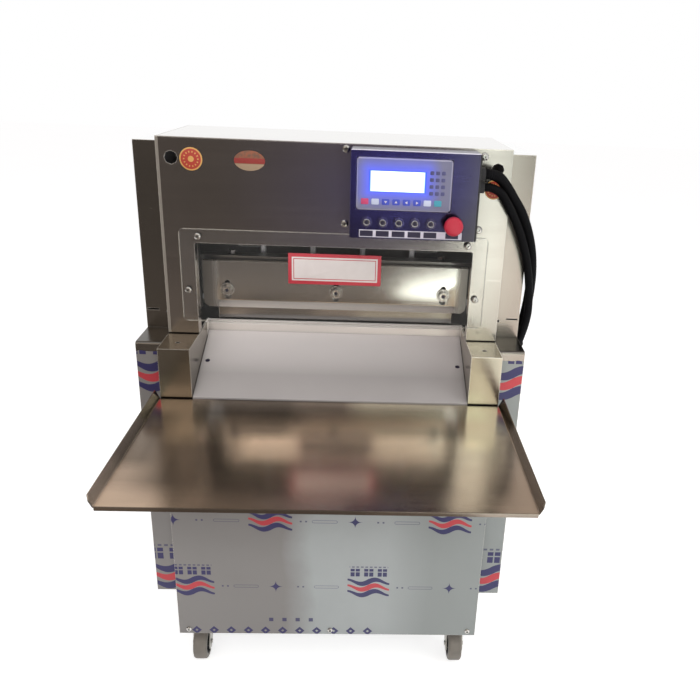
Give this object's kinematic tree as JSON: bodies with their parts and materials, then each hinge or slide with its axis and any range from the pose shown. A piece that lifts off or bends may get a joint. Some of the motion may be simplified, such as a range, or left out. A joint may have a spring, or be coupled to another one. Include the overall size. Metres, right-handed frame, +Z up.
{
  "type": "frozen meat slicer",
  "caption": "Floor-standing guillotine slicer for frozen meat rolls: crank-driven blade behind a clear guard, sloping outlet board, discharge tray, feed bed with pusher, swivel casters.",
  "frame": {"origin": "centre of the bounding box on the floor under the casters", "axes": "+X to the right seen from the front, +Y to the rear towards the feed bed, +Z up"},
  "size_m": [0.78, 1.148, 1.141],
  "materials": {
    "brushed_stainless": "brushed stainless sheet with a soft vertical or lengthwise grain",
    "filmed_stainless": "stainless sheet still under its pale grey-blue protective film",
    "frame_steel": "grey painted structural steel plate",
    "blade_steel": "ground hardened blade steel",
    "machined_steel": "milled and ground steel with an oily film",
    "chrome": "polished hard chrome",
    "cast_iron": "turned grey cast iron",
    "motor_paint": "blue-grey enamel over cast aluminium",
    "belt_rubber": "black ribbed drive belt",
    "caster_tyre": "brownish grey moulded polyurethane tread",
    "white_board": "milled white food-grade polyethylene",
    "clear_acrylic": "clear acrylic sheet with polished edges",
    "dark_steel": "dark reflecting stainless box",
    "display_plastic": "lilac grey moulded plastic with a membrane front",
    "stop_red": "moulded red plastic",
    "conduit_plastic": "black corrugated plastic conduit",
    "zinc_steel": "zinc plated pressed steel"
  },
  "bodies": {
    "frame": {"base_frame": "frame_steel", "front_panel": "filmed_stainless", "back_panel": "filmed_stainless", "left_side_frame": "frame_steel", "right_side_frame": "frame_steel", "head_shell": "brushed_stainless", "left_side_cover": "filmed_stainless", "right_side_cover": "filmed_stainless", "outlet_frame": "brushed_stainless", "outlet_board": "white_board", "discharge_tray": "brushed_stainless", "left_guide_rail": "machined_steel", "right_guide_rail": "machined_steel", "drive_belt": "belt_rubber", "drive_motor": "motor_paint", "feed_table": "brushed_stainless", "guide_rod": "chrome", "feed_motor": "motor_paint", "press_beam": "brushed_stainless", "blade_guard": "clear_acrylic", "control_box": "dark_steel", "display_panel": "display_plastic", "conduit_outer": "conduit_plastic", "conduit_inner": "conduit_plastic", "elbow_outer": "conduit_plastic", "elbow_inner": "conduit_plastic"},
    "blade_group": {"blade_carrier": "machined_steel", "blade_holder": "machined_steel", "blade": "blade_steel", "blade_bolt_1": "chrome", "blade_bolt_2": "chrome", "blade_bolt_3": "chrome"},
    "crank_group": {"crankshaft": "machined_steel", "left_crank_disc": "cast_iron", "right_crank_disc": "cast_iron", "flywheel_pulley": "cast_iron"},
    "left_rod": {"left_connecting_rod": "machined_steel"},
    "right_rod": {"right_connecting_rod": "machined_steel"},
    "motor_rotor": {"motor_pulley": "cast_iron"},
    "screw": {"lead_screw": "chrome"},
    "pusher_group": {"pusher": "brushed_stainless"},
    "stop": {"stop_button": "stop_red"},
    "press_1": {"press_foot_1": "chrome"},
    "press_2": {"press_foot_2": "chrome"},
    "press_3": {"press_foot_3": "chrome"},
    "press_4": {"press_foot_4": "chrome"},
    "button_1": {"push_button_1": "chrome"},
    "button_2": {"push_button_2": "chrome"},
    "button_3": {"push_button_3": "chrome"},
    "button_4": {"push_button_4": "chrome"},
    "button_5": {"push_button_5": "chrome"},
    "fork_1": {"caster_fork_1": "zinc_steel"},
    "wheel_1": {"caster_wheel_1": "caster_tyre"},
    "fork_2": {"caster_fork_2": "zinc_steel"},
    "wheel_2": {"caster_wheel_2": "caster_tyre"},
    "fork_3": {"caster_fork_3": "zinc_steel"},
    "wheel_3": {"caster_wheel_3": "caster_tyre"},
    "fork_4": {"caster_fork_4": "zinc_steel"},
    "wheel_4": {"caster_wheel_4": "caster_tyre"}
  },
  "joints": [
    {"name": "crank_turn", "type": "hinge", "parent": "frame", "child": "crank_group", "pos_m": [0, 0.00966, 0.42], "axis": [1, 0, 0], "range_deg": [0, 180]},
    {"name": "blade_slide", "type": "slide", "parent": "frame", "child": "blade_group", "axis": [0, 0, 1], "range_m": [0, 0.13]},
    {"name": "motor_turn", "type": "hinge", "parent": "frame", "child": "motor_rotor", "pos_m": [-0.09, 0.20566, 0.239], "axis": [1, 0, 0], "range_deg": [0, 720]},
    {"name": "left_rod_swing", "type": "hinge", "parent": "blade_group", "child": "left_rod", "pos_m": [-0.355, 0.00966, 0.862], "axis": [1, 0, 0], "range_deg": [-8, 8]},
    {"name": "right_rod_swing", "type": "hinge", "parent": "blade_group", "child": "right_rod", "pos_m": [0.355, 0.00966, 0.862], "axis": [1, 0, 0], "range_deg": [-8, 8]},
    {"name": "pusher_feed", "type": "slide", "parent": "frame", "child": "pusher_group", "axis": [0, -1, 0], "range_m": [0, 0.25]},
    {"name": "screw_turn", "type": "hinge", "parent": "frame", "child": "screw", "pos_m": [0.262, 0.28366, 0.806], "axis": [0, 1, 0], "continuous": true},
    {"name": "stop_press", "type": "slide", "parent": "frame", "child": "stop", "axis": [0, 1, 0], "range_m": [0, 0.0045], "stiffness_N_per_m": 1200},
    {"name": "press_1_slide", "type": "slide", "parent": "frame", "child": "press_1", "axis": [0, 0, 1], "range_m": [0, 0.07]},
    {"name": "press_2_slide", "type": "slide", "parent": "frame", "child": "press_2", "axis": [0, 0, 1], "range_m": [0, 0.07]},
    {"name": "press_3_slide", "type": "slide", "parent": "frame", "child": "press_3", "axis": [0, 0, 1], "range_m": [0, 0.07]},
    {"name": "press_4_slide", "type": "slide", "parent": "frame", "child": "press_4", "axis": [0, 0, 1], "range_m": [0, 0.07]},
    {"name": "button_1_press", "type": "slide", "parent": "frame", "child": "button_1", "axis": [0, 1, 0], "range_m": [0, 0.003], "stiffness_N_per_m": 600},
    {"name": "button_2_press", "type": "slide", "parent": "frame", "child": "button_2", "axis": [0, 1, 0], "range_m": [0, 0.003], "stiffness_N_per_m": 600},
    {"name": "button_3_press", "type": "slide", "parent": "frame", "child": "button_3", "axis": [0, 1, 0], "range_m": [0, 0.003], "stiffness_N_per_m": 600},
    {"name": "button_4_press", "type": "slide", "parent": "frame", "child": "button_4", "axis": [0, 1, 0], "range_m": [0, 0.003], "stiffness_N_per_m": 600},
    {"name": "button_5_press", "type": "slide", "parent": "frame", "child": "button_5", "axis": [0, 1, 0], "range_m": [0, 0.003], "stiffness_N_per_m": 600},
    {"name": "caster_1_swivel", "type": "hinge", "parent": "frame", "child": "fork_1", "pos_m": [-0.287, -0.13134, 0.09], "axis": [0, 0, 1], "continuous": true},
    {"name": "wheel_1_roll", "type": "hinge", "parent": "fork_1", "child": "wheel_1", "pos_m": [-0.287, -0.16134, 0.0375], "axis": [1, 0, 0], "continuous": true},
    {"name": "caster_2_swivel", "type": "hinge", "parent": "frame", "child": "fork_2", "pos_m": [0.287, -0.13134, 0.09], "axis": [0, 0, 1], "continuous": true},
    {"name": "wheel_2_roll", "type": "hinge", "parent": "fork_2", "child": "wheel_2", "pos_m": [0.287, -0.16134, 0.0375], "axis": [1, 0, 0], "continuous": true},
    {"name": "caster_3_swivel", "type": "hinge", "parent": "frame", "child": "fork_3", "pos_m": [-0.287, 0.29866, 0.09], "axis": [0, 0, 1], "continuous": true},
    {"name": "wheel_3_roll", "type": "hinge", "parent": "fork_3", "child": "wheel_3", "pos_m": [-0.287, 0.26866, 0.0375], "axis": [1, 0, 0], "continuous": true},
    {"name": "caster_4_swivel", "type": "hinge", "parent": "frame", "child": "fork_4", "pos_m": [0.287, 0.29866, 0.09], "axis": [0, 0, 1], "continuous": true},
    {"name": "wheel_4_roll", "type": "hinge", "parent": "fork_4", "child": "wheel_4", "pos_m": [0.287, 0.26866, 0.0375], "axis": [1, 0, 0], "continuous": true}
  ],
  "couplings": [
    {"joint": "blade_slide", "follows": "crank_turn", "m_per_rad": 0.04138},
    {"joint": "motor_turn", "follows": "crank_turn", "ratio": 4},
    {"joint": "screw_turn", "follows": "pusher_feed", "rad_per_m": 628.32}
  ]
}
